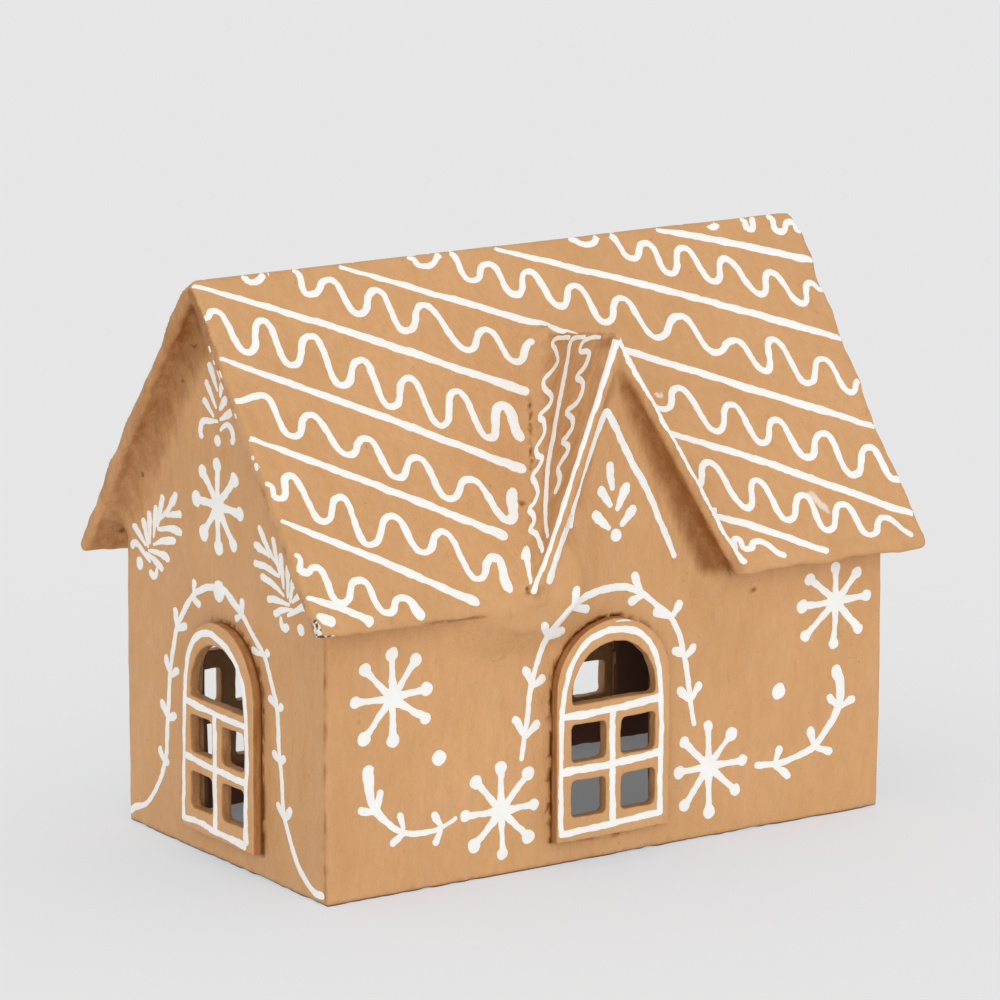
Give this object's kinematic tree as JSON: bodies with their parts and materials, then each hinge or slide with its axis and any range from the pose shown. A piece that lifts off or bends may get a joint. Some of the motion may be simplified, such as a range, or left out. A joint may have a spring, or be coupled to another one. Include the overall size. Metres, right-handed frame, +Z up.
{
  "type": "gingerbread house",
  "caption": "Hollow table-top gingerbread house of tan paper board, with a steep roof, a pointed front dormer, open arched windows and piped white icing lines.",
  "frame": {"origin": "on the ground, under the middle of the roof's rectangle", "axes": "+Z up; +X along the front wall, to the right when seen from the front; +Y from the front wall, which has the dormer, to the back wall"},
  "size_m": [0.273, 0.1694, 0.2195],
  "materials": {
    "board": "matt tan paint over papier-mache board, with brush marks",
    "icing": "raised lines of thick white paint, satin, in the manner of piped icing"
  },
  "bodies": {
    "root": {"dormer_left": "board", "dormer_right": "board", "gable_left": "board", "gable_right": "board", "roof_back": "board", "roof_front": "board", "wall_back": "board", "wall_front": "board", "window_back_1": "board", "window_back_2": "board", "window_front": "board", "window_left": "board", "window_right": "board", "icing_dot_front_1": "icing", "icing_dot_front_2": "icing", "icing_garland_front": "icing", "icing_garland_left": "icing", "icing_garland_right": "icing", "icing_peak_front": "icing", "icing_scroll_front_1": "icing", "icing_scroll_front_2": "icing", "icing_snowflake_front_1": "icing", "icing_snowflake_front_2": "icing", "icing_snowflake_front_3": "icing", "icing_snowflake_front_4": "icing", "icing_snowflake_left": "icing", "icing_snowflake_right": "icing", "icing_sprig_a_left": "icing", "icing_sprig_a_right": "icing", "icing_sprig_b_left": "icing", "icing_sprig_b_right": "icing", "icing_sprig_top_left": "icing", "icing_sprig_top_right": "icing", "icing_stripe_1": "icing", "icing_stripe_2": "icing", "icing_stripe_3": "icing", "icing_stripe_4": "icing", "icing_stripe_5": "icing", "icing_stripe_6": "icing", "icing_stripe_7": "icing", "icing_stripe_8": "icing", "icing_stripe_9": "icing", "icing_stripe_10": "icing", "icing_stripe_11": "icing", "icing_wave_1": "icing", "icing_wave_2": "icing", "icing_wave_3": "icing", "icing_wave_4": "icing", "icing_wave_5": "icing", "icing_wave_6": "icing", "icing_wave_7": "icing", "icing_wave_8": "icing", "icing_wave_9": "icing", "icing_window_back_1": "icing", "icing_window_back_2": "icing", "icing_window_front": "icing", "icing_window_left": "icing", "icing_window_right": "icing"}
  },
  "joints": []
}
